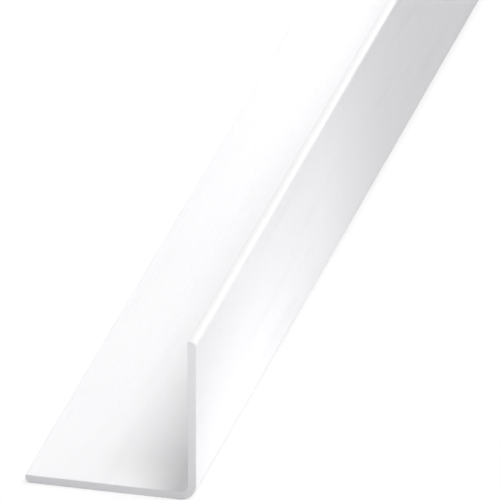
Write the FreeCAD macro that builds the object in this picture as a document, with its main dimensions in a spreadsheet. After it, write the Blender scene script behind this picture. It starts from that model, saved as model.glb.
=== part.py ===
import FreeCAD, Part
import os
from enum import IntEnum
from typing import NamedTuple

import Sketcher
from FreeCAD import Vector

# Corner guard moulding: an angle of white rigid PVC, extruded in one piece with two equal legs.
# It is glued over the outer corner of a wall, or used as an angle bead, and it comes as a straight
# length, sawn square at both ends.
#
# The piece lies as it does when it is put down: one leg flat on the floor, the other standing at
# that leg's +X edge. X runs across the lying leg, Y along the length and Z up. The origin is the
# middle of the lying leg's underside.

# Driving dimensions in millimetres. Both legs share one wall, and each leg has its own width.
SIZES = {
    "profile_length": 1000.0,
    "lying_leg_width": 30.0,
    "standing_leg_width": 30.0,
    "wall_thickness": 1.5,
    "inner_corner_radius": 1.5,
    "outer_edge_radius": 0.8,
    "inner_edge_radius": 0.2,
}

# The die keeps its wall even round the bend, so the outer corner is concentric with the inner one.
OUTER_CORNER_RADIUS = "sizes.inner_corner_radius + sizes.wall_thickness"

DOCUMENT_NAME = "corner_guard_moulding"
PIECE_NAME = "corner_guard_profile"
PARTS_FOLDER = "parts"


class EdgePoint(IntEnum):
    """The numbers by which a sketch constraint names a point of an edge."""
    START = 1
    END = 2


class SketchAxis(IntEnum):
    """The number by which a sketch constraint names the axis that runs across."""
    ACROSS = -1


# The sketch's origin is the first point of its axis across.
SKETCH_ORIGIN = (SketchAxis.ACROSS, EdgePoint.START)


def make_sheet(document):
    """Writes the driving dimensions to a spreadsheet, each with its name as the alias."""
    sheet = document.addObject("Spreadsheet::Sheet", "sizes")
    for row, (alias, value) in enumerate(SIZES.items(), start=1):
        sheet.set("A%d" % row, alias)
        sheet.set("B%d" % row, str(value))
        sheet.setAlias("B%d" % row, alias)
    document.recompute()
    return sheet


def origin_plane(body, role):
    """Finds one of the body's own origin planes by its role."""
    for feature in body.Origin.OriginFeatures:
        if feature.Role == role:
            return feature
    raise ValueError("no origin plane with the role " + role)


class Corner(NamedTuple):
    """A corner of the section: where it would be if it were sharp, and how it is rounded."""
    name: str
    place: Vector
    radius: float
    radius_expression: str


def section_corners(sheet):
    """Lists the corners of the angle's section, anticlockwise from the lying leg's free edge."""
    left = -sheet.lying_leg_width / 2
    right = sheet.lying_leg_width / 2
    top = sheet.standing_leg_width
    wall = sheet.wall_thickness
    inner = sheet.inner_corner_radius
    eased = sheet.outer_edge_radius
    crisp = sheet.inner_edge_radius
    return [
        Corner("lying_edge_below", Vector(left, 0), eased, "sizes.outer_edge_radius"),
        Corner("outer_corner", Vector(right, 0), inner + wall, OUTER_CORNER_RADIUS),
        Corner("standing_edge_outside", Vector(right, top), eased, "sizes.outer_edge_radius"),
        Corner("standing_edge_inside", Vector(right - wall, top), crisp, "sizes.inner_edge_radius"),
        Corner("inner_corner", Vector(right - wall, wall), inner, "sizes.inner_corner_radius"),
        Corner("lying_edge_above", Vector(left, wall), crisp, "sizes.inner_edge_radius"),
    ]


def add_rounding(sketch, before, corner, after):
    """Adds the arc that rounds one corner of the outline.

    Returns the arc's index and its points, first the one met by the line that comes in, then the
    one where the outline goes on. An arc always runs anticlockwise from its start, so at a hollow
    corner the outline meets its end first.
    """
    arriving = (corner.place - before.place).normalize()
    leaving = (after.place - corner.place).normalize()
    arc_begin = corner.place - arriving * corner.radius
    arc_finish = corner.place + leaving * corner.radius
    centre = arc_begin + leaving * corner.radius
    middle = centre + (corner.place - centre).normalize() * corner.radius
    arc = sketch.addGeometry(Part.Arc(arc_begin, middle, arc_finish), False)
    turns_left = arriving.cross(leaving).z > 0
    if turns_left:
        return arc, EdgePoint.START, EdgePoint.END
    return arc, EdgePoint.END, EdgePoint.START


def drive(sketch, constraint, name, expression):
    """Adds a dimension to the sketch, bound to an expression of the sheet's cells."""
    index = sketch.addConstraint(constraint)
    sketch.renameConstraint(index, name)
    sketch.setExpression("Constraints." + name, expression)


def draw_outline(sketch, corners):
    """Draws the rounded outline: an arc at each corner, and a line from each arc to the next.

    Returns the lines, each under the name of the corner that it leaves.
    """
    arcs = []
    for number, corner in enumerate(corners):
        before = corners[number - 1]
        after = corners[(number + 1) % len(corners)]
        rounding = add_rounding(sketch, before, corner, after)
        radius = Sketcher.Constraint("Radius", rounding[0], corner.radius)
        drive(sketch, radius, corner.name, corner.radius_expression)
        arcs.append(rounding)

    lines = {}
    for number, corner in enumerate(corners):
        following = (number + 1) % len(corners)
        arc, _, leaving_point = arcs[number]
        next_arc, arriving_point, _ = arcs[following]
        begin = sketch.getPoint(arc, leaving_point)
        finish = sketch.getPoint(next_arc, arriving_point)
        line = sketch.addGeometry(Part.LineSegment(begin, finish), False)
        direction = "Horizontal" if corner.place.y == corners[following].place.y else "Vertical"
        sketch.addConstraint(Sketcher.Constraint(direction, line))
        sketch.addConstraint(
            Sketcher.Constraint("Tangent", arc, leaving_point, line, EdgePoint.START))
        sketch.addConstraint(
            Sketcher.Constraint("Tangent", line, EdgePoint.END, next_arc, arriving_point))
        lines[corner.name] = line
    return lines


def dimension_section(sketch, lines, sheet):
    """Fixes the six flat sides of the section by the widths of the legs and the wall."""
    underside = lines["lying_edge_below"]
    outer_side = lines["outer_corner"]
    top_edge = lines["standing_edge_outside"]
    inner_side = lines["standing_edge_inside"]
    upper_side = lines["inner_corner"]
    free_edge = lines["lying_edge_above"]

    half_width = sheet.lying_leg_width / 2
    wall = sheet.wall_thickness
    begin = EdgePoint.START
    sketch.addConstraint(
        Sketcher.Constraint("PointOnObject", underside, begin, SketchAxis.ACROSS))
    drive(sketch,
          Sketcher.Constraint("DistanceX", *SKETCH_ORIGIN, outer_side, begin, half_width),
          "right_half", "sizes.lying_leg_width / 2")
    drive(sketch,
          Sketcher.Constraint("DistanceX", free_edge, begin, *SKETCH_ORIGIN, half_width),
          "left_half", "sizes.lying_leg_width / 2")
    drive(sketch,
          Sketcher.Constraint("DistanceY", *SKETCH_ORIGIN, top_edge, begin,
                              sheet.standing_leg_width),
          "standing_width", "sizes.standing_leg_width")
    drive(sketch,
          Sketcher.Constraint("DistanceX", inner_side, begin, outer_side, begin, wall),
          "standing_wall", "sizes.wall_thickness")
    drive(sketch,
          Sketcher.Constraint("DistanceY", *SKETCH_ORIGIN, upper_side, begin, wall),
          "lying_wall", "sizes.wall_thickness")


def make_profile(document, sheet):
    """Extrudes the angle along Y, half its length to each side of the origin."""
    body = document.addObject("PartDesign::Body", PIECE_NAME)
    body.Label = PIECE_NAME

    sketch = body.newObject("Sketcher::SketchObject", "angle_section")
    sketch.AttachmentSupport = [(origin_plane(body, "XZ_Plane"), "")]
    sketch.MapMode = "FlatFace"
    document.recompute()
    lines = draw_outline(sketch, section_corners(sheet))
    dimension_section(sketch, lines, sheet)
    document.recompute()
    if not sketch.FullyConstrained:
        raise ValueError("the section is not fully constrained")

    pad = body.newObject("PartDesign::Pad", "extrusion")
    pad.Profile = sketch
    pad.SideType = "Symmetric"
    pad.setExpression("Length", "sizes.profile_length")
    body.Tip = pad
    body.Placement = FreeCAD.Placement()
    document.recompute()
    return body


def check_document(document):
    """Stops where any object of the document failed to compute."""
    for item in document.Objects:
        if "Invalid" in item.State or "Error" in item.State:
            raise ValueError(item.Name + " failed: " + str(item.State))


def check_piece(body):
    """Stops where the piece isn't one valid solid."""
    shape = body.Shape
    if shape.isNull() or not shape.isValid() or len(shape.Solids) != 1:
        raise ValueError(body.Label + " is not one valid solid")


def export_piece(body):
    """Writes the piece's shape to a STEP file named after its label."""
    path = os.path.join(PARTS_FOLDER, body.Label + ".step")
    body.Shape.exportStep(path)
    box = body.Shape.BoundBox
    print(path, "%.1f x %.1f x %.1f mm" % (box.XLength, box.YLength, box.ZLength),
          "%.1f mm3" % body.Shape.Volume)


document = FreeCAD.newDocument(DOCUMENT_NAME)
sheet = make_sheet(document)
profile = make_profile(document, sheet)
check_document(document)
check_piece(profile)
os.makedirs(PARTS_FOLDER, exist_ok=True)
export_piece(profile)
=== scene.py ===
# %% [markdown]
# Corner guard moulding
#
# This lesson dresses one length of white plastic angle. A corner guard is extruded: rigid PVC is
# pushed through a steel die, cooled, and sawn to length. So its whole look comes from three
# things: an exact section with rounded corners, a satin skin with faint lines that the die drew
# along it, and two sawn ends that are duller than the skin.
#
# The construction is already settled in the frame, so the first cell loads it and keeps its box.

# %% Load the frame
import math

import bpy
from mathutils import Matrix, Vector


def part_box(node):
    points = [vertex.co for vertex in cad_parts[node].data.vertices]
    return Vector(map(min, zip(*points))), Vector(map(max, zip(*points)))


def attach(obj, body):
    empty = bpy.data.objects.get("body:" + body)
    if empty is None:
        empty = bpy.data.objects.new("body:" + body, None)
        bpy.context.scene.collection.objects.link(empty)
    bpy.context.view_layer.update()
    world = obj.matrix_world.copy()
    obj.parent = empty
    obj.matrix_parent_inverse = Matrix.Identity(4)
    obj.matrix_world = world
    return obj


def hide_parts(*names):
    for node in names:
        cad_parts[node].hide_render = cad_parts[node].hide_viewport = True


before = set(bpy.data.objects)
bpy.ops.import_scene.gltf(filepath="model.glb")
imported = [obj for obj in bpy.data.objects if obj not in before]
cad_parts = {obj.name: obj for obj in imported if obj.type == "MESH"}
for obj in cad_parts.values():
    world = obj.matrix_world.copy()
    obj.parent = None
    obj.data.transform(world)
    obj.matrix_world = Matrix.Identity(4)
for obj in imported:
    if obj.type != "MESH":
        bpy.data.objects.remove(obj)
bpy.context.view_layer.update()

MM_PER_METRE = 1000

# %% [markdown]
# The angle lies with one leg flat on the floor and the other standing along the +X edge. Its
# widths and its length are the sides of its box. The wall isn't, so it is measured on the solid:
# everything left of the middle belongs to the lying leg, and its highest point is one wall up.

# %% Measure the angle
PROFILE_NODE = "corner_guard_profile"

profile_low, profile_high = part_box(PROFILE_NODE)
profile_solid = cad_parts[PROFILE_NODE]
middle_x = (profile_low.x + profile_high.x) / 2
length = profile_high.y - profile_low.y
lying_width = profile_high.x - profile_low.x
standing_width = profile_high.z - profile_low.z
wall = max(v.co.z for v in profile_solid.data.vertices if v.co.x < middle_x)
print(f"legs {lying_width * MM_PER_METRE:.1f} x {standing_width * MM_PER_METRE:.1f} mm, "
      f"wall {wall * MM_PER_METRE:.2f} mm, length {length * MM_PER_METRE:.0f} mm")

# %% [markdown]
# The frame's own mesh has few facets round its corners, and the white strip of light along the
# top edge would show them. So the visible angle is modelled again with fine round corners, and
# stands for the node. It could be a curve with a bevel object, or a drawn outline that is pulled
# along. Here it is made as by hand from a slab, because each rounding then has its own size: the
# slab is the lying leg, and a strip of its top is raised to make the standing leg. A face counts
# as looking along an axis where its normal is nearly all on that axis.

# %% Lay down the lying leg
END_BREAK = 0.0001

slab_centre = (middle_x, (profile_low.y + profile_high.y) / 2, wall / 2)
bpy.ops.object.select_all(action="DESELECT")
bpy.ops.mesh.primitive_cube_add(size=1, location=slab_centre)
guard = bpy.context.object
guard.name = "corner_guard"
guard.data.name = "corner_guard"
guard.scale = (lying_width, length - 2 * END_BREAK, wall)
bpy.ops.object.transform_apply(location=True, rotation=True, scale=True)
print("slab", tuple(round(side * MM_PER_METRE, 2) for side in guard.dimensions), "mm")

# %% Raise the standing leg
FACING = 0.99
SAME_PLANE_ANGLE = math.radians(1)


def select_faces(piece, wanted):
    """Selects, in edit mode, just the faces that the test wants, and counts them."""
    bpy.ops.object.mode_set(mode="OBJECT")
    for element in [*piece.data.vertices, *piece.data.edges]:
        element.select = False
    for face in piece.data.polygons:
        face.select = bool(wanted(face))
    count = sum(face.select for face in piece.data.polygons)
    bpy.ops.object.mode_set(mode="EDIT")
    return count


bpy.ops.object.mode_set(mode="EDIT")
bpy.ops.mesh.select_mode(type="FACE")
bpy.ops.mesh.select_all(action="SELECT")
bpy.ops.mesh.bisect(plane_co=(profile_high.x - wall, 0, 0), plane_no=(1, 0, 0))
strips = select_faces(guard, lambda face: face.normal.z > FACING
                      and face.center.x > profile_high.x - wall)
bpy.ops.mesh.extrude_region_move(
    TRANSFORM_OT_translate={"value": (0, 0, standing_width - wall)})
bpy.ops.mesh.select_all(action="SELECT")
bpy.ops.mesh.dissolve_limited(angle_limit=SAME_PLANE_ANGLE)
bpy.ops.mesh.normals_make_consistent(inside=False)
bpy.ops.object.mode_set(mode="OBJECT")
print(strips, "strip raised;", len(guard.data.polygons), "faces in the sharp angle")

# %% [markdown]
# Molten plastic can't hold a sharp corner, so the die has none. The outer corner is concentric
# with the fillet inside it, which keeps the wall even round the bend. The free edges are well
# eased on the outside, where hands touch them, and only just broken on the inside, where they
# meet the wall. The bevel operator rounds each edge that runs along the piece, picked out by
# where it lies in the section.

# %% Round the long edges
INNER_CORNER_RADIUS = 0.0015
OUTER_CORNER_RADIUS = INNER_CORNER_RADIUS + wall
OUTER_EDGE_RADIUS = 0.0008
INNER_EDGE_RADIUS = 0.0002
TOLERANCE = 1e-6
ROUND_PROFILE = 0.5

left, right = profile_low.x, profile_high.x
floor_level, top = profile_low.z, profile_high.z
# Each row: the edge, its X and Z in the section, its radius, and the steps of its arc.
long_edges = [
    ("outer corner", right, floor_level, OUTER_CORNER_RADIUS, 18),
    ("inner corner", right - wall, wall, INNER_CORNER_RADIUS, 12),
    ("outer side of the lying leg's free edge", left, floor_level, OUTER_EDGE_RADIUS, 8),
    ("outer side of the standing leg's free edge", right, top, OUTER_EDGE_RADIUS, 10),
    ("inner side of the lying leg's free edge", left, wall, INNER_EDGE_RADIUS, 4),
    ("inner side of the standing leg's free edge", right - wall, top, INNER_EDGE_RADIUS, 4),
]


def select_edges(piece, wanted):
    """Selects, in edit mode, just the edges whose two ends pass the test, and counts them."""
    bpy.ops.object.mode_set(mode="EDIT")
    bpy.ops.mesh.select_mode(type="EDGE")
    bpy.ops.mesh.select_all(action="DESELECT")
    bpy.ops.object.mode_set(mode="OBJECT")
    points = piece.data.vertices
    for edge in piece.data.edges:
        edge.select = all(wanted(points[i].co) for i in edge.vertices)
    count = sum(edge.select for edge in piece.data.edges)
    bpy.ops.object.mode_set(mode="EDIT")
    return count


for name, x, z, radius, segments in long_edges:
    found = select_edges(guard, lambda point: abs(point.x - x) < TOLERANCE
                         and abs(point.z - z) < TOLERANCE)
    bpy.ops.mesh.bevel(offset=radius, segments=segments, profile=ROUND_PROFILE,
                       affect="EDGES")
    bpy.ops.object.mode_set(mode="OBJECT")
    print(f"{name}: {found} edge, radius {radius * MM_PER_METRE:.1f} mm in {segments} steps")

# %% [markdown]
# A saw leaves a hard edge round the cut, and whoever trims the piece takes the burr off with one
# stroke of a knife. That leaves a bevel of a tenth of a millimetre round each end. It is far
# smaller than the wall, and it still matters, because a real edge always catches a thread of
# light. The bevel operator would crowd the many small sides of the round corners, so each end
# face is inset and pushed out by the same tenth, up to the full length.

# %% Break the edges of the sawn ends
def is_sawn(face):
    """Tells the two end faces, which are the only ones that look along the piece."""
    return abs(face.normal.y) > FACING


sawn_count = select_faces(guard, is_sawn)
bpy.ops.mesh.inset(thickness=END_BREAK, depth=END_BREAK)
bpy.ops.object.mode_set(mode="OBJECT")
print(sawn_count, "ends broken;", len(guard.data.polygons), "faces in the angle")

# %% [markdown]
# Smooth shading blends the light round the corners. On its own it would also bend it over the
# flat faces, because a flat face borrows the tilt of the rounding beside it. Weighted normals
# give the large faces the last word, so they stay flat to their edges.

# %% Shade the corners smooth and keep the faces flat
SMOOTH_ANGLE = math.radians(30)
LARGE_FACES_WEIGHT = 100

bpy.ops.object.shade_smooth_by_angle(angle=SMOOTH_ANGLE)
weighted = guard.modifiers.new("flat faces stay flat", "WEIGHTED_NORMAL")
weighted.keep_sharp = True
weighted.weight = LARGE_FACES_WEIGHT
bpy.ops.object.modifier_apply(modifier=weighted.name)
print("normals weighted over", len(guard.data.vertices), "points")

# %% [markdown]
# The finish comes next. Two materials share the same plastic: the extruded skin and the sawn end.
# What both need is built once, as a node group, and each material sets its own values. All
# patterns are read from Object coordinates in metres, so a size in the code is a size on the
# piece, and nothing slides when the camera moves.

# %% Helpers for node trees
def set_or_link(tree, socket, value):
    """Sets a socket to a number or a colour, or links another node's output to it."""
    if isinstance(value, (int, float, tuple)):
        socket.default_value = value
    else:
        tree.links.new(value, socket)


def add_math(tree, operation, *values):
    """Adds a maths node. Each value is a number or another node's output."""
    node = tree.nodes.new("ShaderNodeMath")
    node.operation = operation
    for socket, value in zip(node.inputs, values):
        set_or_link(tree, socket, value)
    return node.outputs[0]


def blend_colours(tree, share, first, second):
    """Blends from the first colour, where the share is 0, to the second, where it is 1."""
    blend = tree.nodes.new("ShaderNodeMix")
    blend.data_type = "RGBA"
    tree.links.new(share, blend.inputs["Factor"])
    set_or_link(tree, blend.inputs["A"], first)
    set_or_link(tree, blend.inputs["B"], second)
    return blend.outputs["Result"]


def add_noise(tree, across, along, detail=2.0):
    """Adds noise whose blobs measure so much across the piece and along it, in metres."""
    place = tree.nodes.new("ShaderNodeTexCoord")
    mapping = tree.nodes.new("ShaderNodeMapping")
    mapping.inputs["Scale"].default_value = (1 / across, 1 / along, 1 / across)
    noise = tree.nodes.new("ShaderNodeTexNoise")
    noise.inputs["Scale"].default_value = 1.0
    noise.inputs["Detail"].default_value = detail
    tree.links.new(place.outputs["Object"], mapping.inputs["Vector"])
    tree.links.new(mapping.outputs["Vector"], noise.inputs["Vector"])
    return noise.outputs["Fac"]


def add_threshold(tree, value, low, high):
    """Adds a smooth step: 0 below the low value, 1 above the high one."""
    node = tree.nodes.new("ShaderNodeMapRange")
    node.interpolation_type = "SMOOTHSTEP"
    node.inputs["From Min"].default_value = low
    node.inputs["From Max"].default_value = high
    tree.links.new(value, node.inputs["Value"])
    return node.outputs["Result"]


print("helpers for node trees are ready")

# %% Helpers for groups and materials
def new_group(name, inputs, output, output_kind):
    """Starts a shader node group with named number inputs and one output."""
    group = bpy.data.node_groups.new(name, "ShaderNodeTree")
    for socket in inputs:
        group.interface.new_socket(socket, in_out="INPUT", socket_type="NodeSocketFloat")
    group.interface.new_socket(output, in_out="OUTPUT", socket_type=output_kind)
    return group, group.nodes.new("NodeGroupInput"), group.nodes.new("NodeGroupOutput")


def place_group(tree, group, **values):
    """Places a node group in a material, with the material's own values on its inputs."""
    node = tree.nodes.new("ShaderNodeGroup")
    node.node_tree = group
    for socket, value in values.items():
        node.inputs[socket.replace("_", " ")].default_value = value
    return node


def new_material(name):
    """Starts a material and returns it with its node tree and its Principled BSDF."""
    material = bpy.data.materials.new(name)
    material.use_nodes = True
    return material, material.node_tree, material.node_tree.nodes["Principled BSDF"]


def add_bump(tree, height, shader):
    """Bends the shader's normal by a height in metres."""
    bump = tree.nodes.new("ShaderNodeBump")
    bump.inputs["Strength"].default_value = 1.0
    bump.inputs["Distance"].default_value = 1.0
    tree.links.new(height, bump.inputs["Height"])
    tree.links.new(bump.outputs["Normal"], shader.inputs["Normal"])


print("helpers for groups and materials are ready")

# %% [markdown]
# The first group is the body colour. Titanium white spreads a little unevenly through the melt,
# so the white drifts by a percent or two over a few centimetres, and less over a millimetre. One
# flat colour would look like paper.

# %% Body colour of the plastic
WHITE_PVC = (0.880, 0.879, 0.888, 1)
CLOUDY_PVC = (0.860, 0.859, 0.870, 1)
CLOUD_WIDTH = 0.018
CLOUD_RUN = 0.070
SPECK_SIZE = 0.0009
SPECK_SHARE = 0.25
CLOUD_RANGE = (0.45, 0.85)

body_colour, _, body_out = new_group("pvc_body_colour", [], "Color", "NodeSocketColor")
clouds = add_noise(body_colour, CLOUD_WIDTH, CLOUD_RUN)
specks = add_noise(body_colour, SPECK_SIZE, SPECK_SIZE, detail=1.0)
drift = add_math(body_colour, "MULTIPLY_ADD", specks, SPECK_SHARE, clouds)
cloudiness = add_threshold(body_colour, drift, *CLOUD_RANGE)
drifting_white = blend_colours(body_colour, cloudiness, WHITE_PVC, CLOUDY_PVC)
body_colour.links.new(drifting_white, body_out.inputs["Color"])
print("group", body_colour.name)

# %% [markdown]
# The second group is the grain of the surface, as a height in metres. The skin of extruded PVC
# isn't a mirror: it has a soft orange peel about a millimetre across, and a finer grain that gives
# it its satin look. The saw tears the same plastic open, which flattens the peel a little and makes
# the grain deeper on the sawn end. Heights are in metres, so each Bump node has a strength and a
# distance of one. Noise seldom leaves the middle third of its range, so the relief that shows is a
# third of the depth given.

# %% Grain of the plastic
PEEL_SIZE = 0.0014
GRAIN_SIZE = 0.00018

pvc_grain, grain_in, grain_out = new_group(
    "pvc_grain", ["Peel Depth", "Grain Depth"], "Height", "NodeSocketFloat")
peel = add_noise(pvc_grain, PEEL_SIZE, PEEL_SIZE * 2)
grain = add_noise(pvc_grain, GRAIN_SIZE, GRAIN_SIZE)
peel_height = add_math(pvc_grain, "MULTIPLY", peel, grain_in.outputs["Peel Depth"])
grain_height = add_math(pvc_grain, "MULTIPLY_ADD", grain, grain_in.outputs["Grain Depth"],
                        peel_height)
pvc_grain.links.new(grain_height, grain_out.inputs["Height"])
print("group", pvc_grain.name)

# %% [markdown]
# The third group is wear, as a mask. Lengths slide over each other in the bundle, which leaves
# dull rubs that run along the piece. The outer corner and the free edges stand proud and take
# finer, denser scuffs. They are where a point is far out both sideways and up or down, seen from
# the middle of the section, so the smaller of the two distances picks them out. On white plastic
# a rub shows as a trace of grey rather than as a scratch.

# %% Rubs from handling
RUB_WIDTH = 0.004
RUB_RUN = 0.045
RUB_RANGE = (0.52, 0.70)
SCUFF_WIDTH = 0.0005
SCUFF_RUN = 0.006
SCUFF_RANGE = (0.50, 0.66)
SCUFF_REACH = (0.0025, 0.0012)
RUBBED_PVC = (0.838, 0.838, 0.847, 1)

handling, handling_in, handling_out = new_group(
    "handling_rubs", ["Flats", "Corners"], "Mask", "NodeSocketFloat")
section_middle = ((left + right) / 2, 0, (floor_level + top) / 2)
half_width = lying_width / 2
whereabouts = handling.nodes.new("ShaderNodeTexCoord")
from_middle = handling.nodes.new("ShaderNodeMapping")
from_middle.inputs["Location"].default_value = tuple(-c for c in section_middle)
apart = handling.nodes.new("ShaderNodeSeparateXYZ")
handling.links.new(whereabouts.outputs["Object"], from_middle.inputs["Vector"])
handling.links.new(from_middle.outputs["Vector"], apart.inputs["Vector"])
far_out = add_math(handling, "MINIMUM", add_math(handling, "ABSOLUTE", apart.outputs["X"]),
                   add_math(handling, "ABSOLUTE", apart.outputs["Z"]))
proud = add_threshold(handling, far_out, *(half_width - reach for reach in SCUFF_REACH))
rubs = add_threshold(handling, add_noise(handling, RUB_WIDTH, RUB_RUN), *RUB_RANGE)
scuffs = add_threshold(handling, add_noise(handling, SCUFF_WIDTH, SCUFF_RUN), *SCUFF_RANGE)
on_flats = add_math(handling, "MULTIPLY", rubs, handling_in.outputs["Flats"])
on_corners = add_math(handling, "MULTIPLY", add_math(handling, "MULTIPLY", scuffs, proud),
                      handling_in.outputs["Corners"])
handling.links.new(add_math(handling, "MAXIMUM", on_flats, on_corners),
                   handling_out.inputs["Mask"])
print("group", handling.name)

# %% [markdown]
# The skin adds what only it has. Die lines run the whole length without a break, because a nick
# in the steel draws the same line on every metre, so they are noise stretched until it hardly
# changes along the piece. The belts of the haul-off leave the opposite: faint bands across, a
# little over a centimetre apart. Both show in the gloss and in the height, never in the colour,
# which only the rubs change.

# %% Extruded skin
SKIN_ROUGHNESS = 0.30
PVC_IOR = 1.53
DIE_LINE_SPACING = 0.0007
DIE_LINE_RUN = 3.0
DIE_LINE_DEPTH = 0.00004
DIE_LINE_DULLING = 0.12
BELT_BAND_WIDTH = 0.5
BELT_BAND_SPACING = 0.012
BELT_BAND_DEPTH = 0.0001
BELT_BAND_DULLING = 0.04
SKIN_PEEL_DEPTH = 0.00005
SKIN_GRAIN_DEPTH = 0.000003
RUB_SHARE_OF_FLATS = 0.5
RUB_SHARE_OF_CORNERS = 1.0
RUB_DULLING = 0.08

skin, skin_tree, skin_shader = new_material("extruded_white_pvc")
skin_shader.inputs["IOR"].default_value = PVC_IOR
skin_body = place_group(skin_tree, body_colour)
skin_rubs = place_group(skin_tree, handling, Flats=RUB_SHARE_OF_FLATS,
                        Corners=RUB_SHARE_OF_CORNERS)
skin_colour = blend_colours(skin_tree, skin_rubs.outputs["Mask"], skin_body.outputs["Color"],
                            RUBBED_PVC)
skin_tree.links.new(skin_colour, skin_shader.inputs["Base Color"])

die_lines = add_noise(skin_tree, DIE_LINE_SPACING, DIE_LINE_RUN, detail=3.0)
belt_bands = add_noise(skin_tree, BELT_BAND_WIDTH, BELT_BAND_SPACING, detail=1.0)
lined_gloss = add_math(skin_tree, "MULTIPLY_ADD", die_lines, DIE_LINE_DULLING,
                       SKIN_ROUGHNESS - DIE_LINE_DULLING / 2)
banded_gloss = add_math(skin_tree, "MULTIPLY_ADD", belt_bands, BELT_BAND_DULLING, lined_gloss)
rubbed_gloss = add_math(skin_tree, "MULTIPLY_ADD", skin_rubs.outputs["Mask"], RUB_DULLING,
                        banded_gloss)
skin_tree.links.new(rubbed_gloss, skin_shader.inputs["Roughness"])

skin_grain = place_group(skin_tree, pvc_grain, Peel_Depth=SKIN_PEEL_DEPTH,
                         Grain_Depth=SKIN_GRAIN_DEPTH)
line_height = add_math(skin_tree, "MULTIPLY_ADD", die_lines, DIE_LINE_DEPTH,
                       skin_grain.outputs["Height"])
skin_height = add_math(skin_tree, "MULTIPLY_ADD", belt_bands, BELT_BAND_DEPTH, line_height)
add_bump(skin_tree, skin_height, skin_shader)
print("material", skin.name, "with", len(skin_tree.nodes), "nodes")

# %% [markdown]
# A chop saw cuts the ends, and its teeth swing through the section on a wide arc. Each tooth
# leaves a shallow groove, so the marks are rings round the blade's axle, which was well off to
# one side. Wave rings make them: the Mapping node moves the axle to the middle of the pattern and
# flattens the length, so both ends get true arcs. At a scale of one, the Wave node draws 20 rings
# in every tau metres, so its scale follows from the spacing of the marks. The plastic is torn
# rather than pressed here, which makes it duller than the skin. The grooves are painted a shade
# darker in the colour: partly a little dust that stays in them, partly painted shade that makes
# the marks show.

# %% Sawn ends
SAWN_ROUGHNESS = 0.52
AXLE_DISTANCE = 0.125
AXLE_ANGLE = math.radians(148)
TOOTH_MARK_SPACING = 0.00042
TOOTH_MARK_DEPTH = 0.00002
TOOTH_MARK_WANDER = 2.5
TOOTH_MARK_DULLING = 0.10
SAWN_PEEL_DEPTH = 0.00003
SAWN_GRAIN_DEPTH = 0.00001
RINGS_PER_UNIT = 20 / math.tau
# Colour of the grooves: a little dust, and painted shade that makes the saw marks show.
DUST_AND_GROOVE_SHADE_PVC = (0.838, 0.836, 0.845, 1)

sawn, sawn_tree, sawn_shader = new_material("sawn_white_pvc")
sawn_shader.inputs["IOR"].default_value = PVC_IOR

section_place = sawn_tree.nodes.new("ShaderNodeTexCoord")
from_axle = sawn_tree.nodes.new("ShaderNodeMapping")
from_axle.inputs["Location"].default_value = (
    -AXLE_DISTANCE * math.cos(AXLE_ANGLE), 0, -AXLE_DISTANCE * math.sin(AXLE_ANGLE))
from_axle.inputs["Scale"].default_value = (1, 0, 1)
tooth_marks = sawn_tree.nodes.new("ShaderNodeTexWave")
tooth_marks.wave_type = "RINGS"
tooth_marks.rings_direction = "SPHERICAL"
tooth_marks.inputs["Scale"].default_value = 1 / (TOOTH_MARK_SPACING * RINGS_PER_UNIT)
tooth_marks.inputs["Distortion"].default_value = TOOTH_MARK_WANDER
tooth_marks.inputs["Detail"].default_value = 2.0
sawn_tree.links.new(section_place.outputs["Object"], from_axle.inputs["Vector"])
sawn_tree.links.new(from_axle.outputs["Vector"], tooth_marks.inputs["Vector"])

sawn_body = place_group(sawn_tree, body_colour)
# Darkens the colour in the grooves: painted shade in the saw marks, together with a little dust.
groove_dust_and_shade = add_math(sawn_tree, "SUBTRACT", 1.0, tooth_marks.outputs["Fac"])
sawn_colour = blend_colours(sawn_tree, groove_dust_and_shade, sawn_body.outputs["Color"], DUST_AND_GROOVE_SHADE_PVC)
sawn_tree.links.new(sawn_colour, sawn_shader.inputs["Base Color"])

marked_gloss = add_math(sawn_tree, "MULTIPLY_ADD", tooth_marks.outputs["Fac"],
                        TOOTH_MARK_DULLING, SAWN_ROUGHNESS)
sawn_tree.links.new(marked_gloss, sawn_shader.inputs["Roughness"])
sawn_grain = place_group(sawn_tree, pvc_grain, Peel_Depth=SAWN_PEEL_DEPTH,
                         Grain_Depth=SAWN_GRAIN_DEPTH)
sawn_height = add_math(sawn_tree, "MULTIPLY_ADD", tooth_marks.outputs["Fac"], TOOTH_MARK_DEPTH,
                       sawn_grain.outputs["Height"])
add_bump(sawn_tree, sawn_height, sawn_shader)
print("material", sawn.name, "with", len(sawn_tree.nodes), "nodes")

# %% [markdown]
# The skin goes on everything that the die made. The sawn finish goes on the two end faces, which
# are the only ones that look along the piece. The finished angle then stands for the imported node,
# which is hidden: it rides on the same body.

# %% Dress the angle
guard.data.materials.append(skin)
guard.data.materials.append(sawn)
sawn_faces = [face for face in guard.data.polygons if is_sawn(face)]
sawn_index = guard.data.materials.find(sawn.name)
for face in sawn_faces:
    face.material_index = sawn_index
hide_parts(PROFILE_NODE)
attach(guard, "root")
print(len(sawn_faces), "sawn faces on", guard.name)

# %% [markdown]
# The stage is a plain pale floor. The picture wants it white to the edge, and a floor lit bright
# enough for that would burn out a white object. So the camera, and the gloss that mirrors the
# floor, see it mostly as plain white, mixed with some of the real lit floor, which keeps the
# object's shadow. All other light meets an ordinary pale surface. From below the floor is clear,
# so the underside can be looked at too.

# %% Lay the floor
FLOOR_SIZE = 60.0

bpy.ops.object.select_all(action="DESELECT")
bpy.ops.mesh.primitive_plane_add(size=FLOOR_SIZE, location=(0, 0, profile_low.z))
floor = bpy.context.object
floor.name = "studio_floor"
print("floor", FLOOR_SIZE, "m wide")

# %% Paint the floor
FLOOR_COLOUR = (0.47, 0.467, 0.49, 1)
WHITE = (1, 1, 1, 1)
FULL_STRENGTH = 1.0
PLAIN_WHITE_SHARE = 0.8


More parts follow.
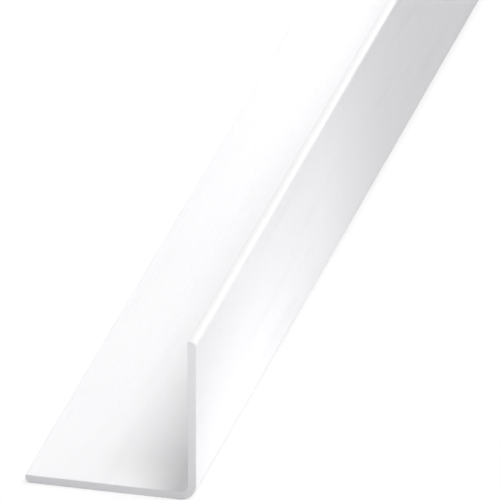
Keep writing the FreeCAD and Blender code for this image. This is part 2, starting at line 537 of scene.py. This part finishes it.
def seen_directly(tree):
    """Adds a mask that is 1 for camera, mirror and see-through rays, and 0 for all others."""
    rays = tree.nodes.new("ShaderNodeLightPath")
    mirrored = add_math(tree, "MAXIMUM", rays.outputs["Is Glossy Ray"],
                        rays.outputs["Is Transmission Ray"])
    return add_math(tree, "MAXIMUM", rays.outputs["Is Camera Ray"], mirrored)


def mix_shaders(tree, share, first, second):
    """Mixes two shaders: the first where the share is 0, the second where it is 1."""
    mix = tree.nodes.new("ShaderNodeMixShader")
    for socket, value in zip(mix.inputs, (share, first, second)):
        tree.links.new(value, socket)
    return mix.outputs["Shader"]


floor_paint = bpy.data.materials.new("studio_floor")
floor_paint.use_nodes = True
floor_tree = floor_paint.node_tree
floor_tree.nodes.clear()
seen = seen_directly(floor_tree)
lit_floor = floor_tree.nodes.new("ShaderNodeBsdfDiffuse")
floor_tree.links.new(blend_colours(floor_tree, seen, FLOOR_COLOUR, WHITE),
                     lit_floor.inputs["Color"])
plain_white = floor_tree.nodes.new("ShaderNodeEmission")
plain_white.inputs["Color"].default_value = WHITE
plain_white.inputs["Strength"].default_value = FULL_STRENGTH
white_share = add_math(floor_tree, "MULTIPLY", seen, PLAIN_WHITE_SHARE)
from_above = mix_shaders(floor_tree, white_share, lit_floor.outputs["BSDF"],
                         plain_white.outputs["Emission"])
clear = floor_tree.nodes.new("ShaderNodeBsdfTransparent")
side = floor_tree.nodes.new("ShaderNodeNewGeometry")
both_sides = mix_shaders(floor_tree, side.outputs["Backfacing"], from_above,
                         clear.outputs["BSDF"])
floor_out = floor_tree.nodes.new("ShaderNodeOutputMaterial")
floor_tree.links.new(both_sides, floor_out.inputs["Surface"])
floor.data.materials.append(floor_paint)
print("material", floor_paint.name, "with", len(floor_tree.nodes), "nodes")

# %% [markdown]
# Three big soft panels light the piece, so far off that they are suns with a wide disc. The key is
# high, behind and to the right: it whitens the lying leg and leaves the sawn end in grey, and the
# standing leg keeps it out of the inside corner. The fill is low in front and a little to the left,
# so it gives the sawn end its light without touching the outer face, and it is a trace cooler. The
# rim is low and behind, and draws the white line along the top edge. The world adds a little from
# all round, and is seen as plain white, as the floor is.

# %% Panels
NEUTRAL = (1.0, 1.0, 1.0)
COOL = (0.992, 0.978, 1.0)
# Each row: name, azimuth, elevation and width of the disc in degrees, strength, tint.
PANELS = [
    ("key_panel", 145, 65, 40, 2.81, NEUTRAL),
    ("fill_panel", 345, 15, 25, 1.32, COOL),
    ("rim_panel", 160, 18, 40, 0.74, NEUTRAL),
]
PANEL_DISTANCE = 2.0


def aim(piece, direction):
    """Turns a lamp or camera to look in a direction, with its top up."""
    piece.rotation_mode = "QUATERNION"
    piece.rotation_quaternion = direction.to_track_quat("-Z", "Y")


def direction_to(azimuth, elevation):
    """The direction from the piece to something that stands at these angles, in radians."""
    return Vector((math.sin(azimuth) * math.cos(elevation),
                   -math.cos(azimuth) * math.cos(elevation),
                   math.sin(elevation)))


for name, azimuth, elevation, disc, strength, tint in PANELS:
    towards = direction_to(math.radians(azimuth), math.radians(elevation))
    bpy.ops.object.light_add(type="SUN", location=towards * PANEL_DISTANCE)
    panel = bpy.context.object
    panel.name = name
    panel.data.energy = strength
    panel.data.color = tint
    panel.data.angle = math.radians(disc)
    aim(panel, -towards)
    print(f"{name}: strength {strength}, {disc} degrees wide")

# %% World
AMBIENT_STRENGTH = 0.02
AMBIENT_COLOUR = (0.98, 0.98, 1.0, 1)

world = bpy.data.worlds.new("studio")
bpy.context.scene.world = world
world.use_nodes = True
world_tree = world.node_tree
ambient = world_tree.nodes["Background"]
ambient.inputs["Color"].default_value = AMBIENT_COLOUR
ambient.inputs["Strength"].default_value = AMBIENT_STRENGTH
white_background = world_tree.nodes.new("ShaderNodeBackground")
white_background.inputs["Color"].default_value = WHITE
white_background.inputs["Strength"].default_value = FULL_STRENGTH
surroundings = mix_shaders(world_tree, seen_directly(world_tree), ambient.outputs["Background"],
                           white_background.outputs["Background"])
world_tree.links.new(surroundings, world_tree.nodes["World Output"].inputs["Surface"])
print("world: ambient strength", AMBIENT_STRENGTH)

# %% [markdown]
# Five small lamps stand round the near end. A strip lies low beside the outer face and fades
# along it, so the face goes from white to grey with the distance. A weak lamp with a grid, lower
# still, whitens the foot of that face and leaves its top alone. A small lamp near the floor looks
# up at the sawn end, which makes it lighter towards its top and only grazes the lying leg. The
# fourth hangs over the lying leg some way back, so the leg whitens away from the camera. The last
# is very weak and close over the near end of that leg, which the standing leg shades too much.
# All are hidden from the camera, so that they don't stand in the way of other views.

# %% Lamps by the near end
# Each row: name, shape, place and aim as measured from the middle of the near end's foot, size,
# spread in degrees, and power in watts.
LAMPS = [
    ("strip_beside_outer_face", "RECTANGLE", (0.060, 0.045, 0.005), (0.015, 0.045, 0.015),
     (0.12, 0.008), 180, 0.0155),
    ("lamp_low_by_outer_face", "RECTANGLE", (0.050, 0.020, 0.004), (0.015, 0.020, 0.0),
     (0.06, 0.006), 90, 0.00096),
    ("lamp_before_sawn_end", "ELLIPSE", (0.03, -0.10, 0.010), (0.010, 0.0, 0.040),
     (0.01, 0.01), 50, 0.00160),
    ("lamp_over_lying_leg", "ELLIPSE", (-0.10, 0.20, 0.10), (0.0, 0.20, 0.0),
     (0.08, 0.08), 180, 0.026),
    ("lamp_inside_near_end", "ELLIPSE", (0.005, 0.0, 0.020), (0.005, 0.0, 0.0),
     (0.006, 0.006), 60, 0.00008),
]
near_end = Vector((middle_x, profile_low.y, profile_low.z))

for name, shape, place, target, size, spread, power in LAMPS:
    bpy.ops.object.light_add(type="AREA", location=near_end + Vector(place))
    lamp = bpy.context.object
    lamp.name = name
    lamp.data.shape = shape
    lamp.data.size, lamp.data.size_y = size
    lamp.data.spread = math.radians(spread)
    lamp.data.energy = power
    lamp.visible_camera = False
    aim(lamp, Vector(target) - Vector(place))
    print(f"{name}: {power} W, {spread} degrees of spread")

# %% [markdown]
# The camera stands in front of the near end, a little to the right, and looks down on it. It is
# far off with a very long lens, because the long edges of the piece hardly draw together. Its
# distance, and the point that its axis meets at half the leg's height, frame the picture.

# %% Camera
CAMERA_AZIMUTH = math.radians(14.26)
CAMERA_ELEVATION = math.radians(25.78)
CAMERA_DISTANCE = 4.0634
CAMERA_LENS = 1700.0
CAMERA_SENSOR = 36.0
CAMERA_REACH = 100.0
AIM_ACROSS = 0.0073
AIM_ALONG = 0.0674

towards_camera = direction_to(CAMERA_AZIMUTH, CAMERA_ELEVATION)
aim_point = Vector((middle_x + AIM_ACROSS, profile_low.y + AIM_ALONG, standing_width / 2))
bpy.ops.object.camera_add(location=aim_point + towards_camera * CAMERA_DISTANCE)
camera = bpy.context.object
camera.name = "camera"
camera.data.lens = CAMERA_LENS
camera.data.sensor_width = CAMERA_SENSOR
camera.data.clip_end = CAMERA_REACH
aim(camera, -towards_camera)
bpy.context.scene.camera = camera
bpy.context.scene.view_settings.view_transform = "Standard"
print("camera at", tuple(round(c, 3) for c in camera.location))
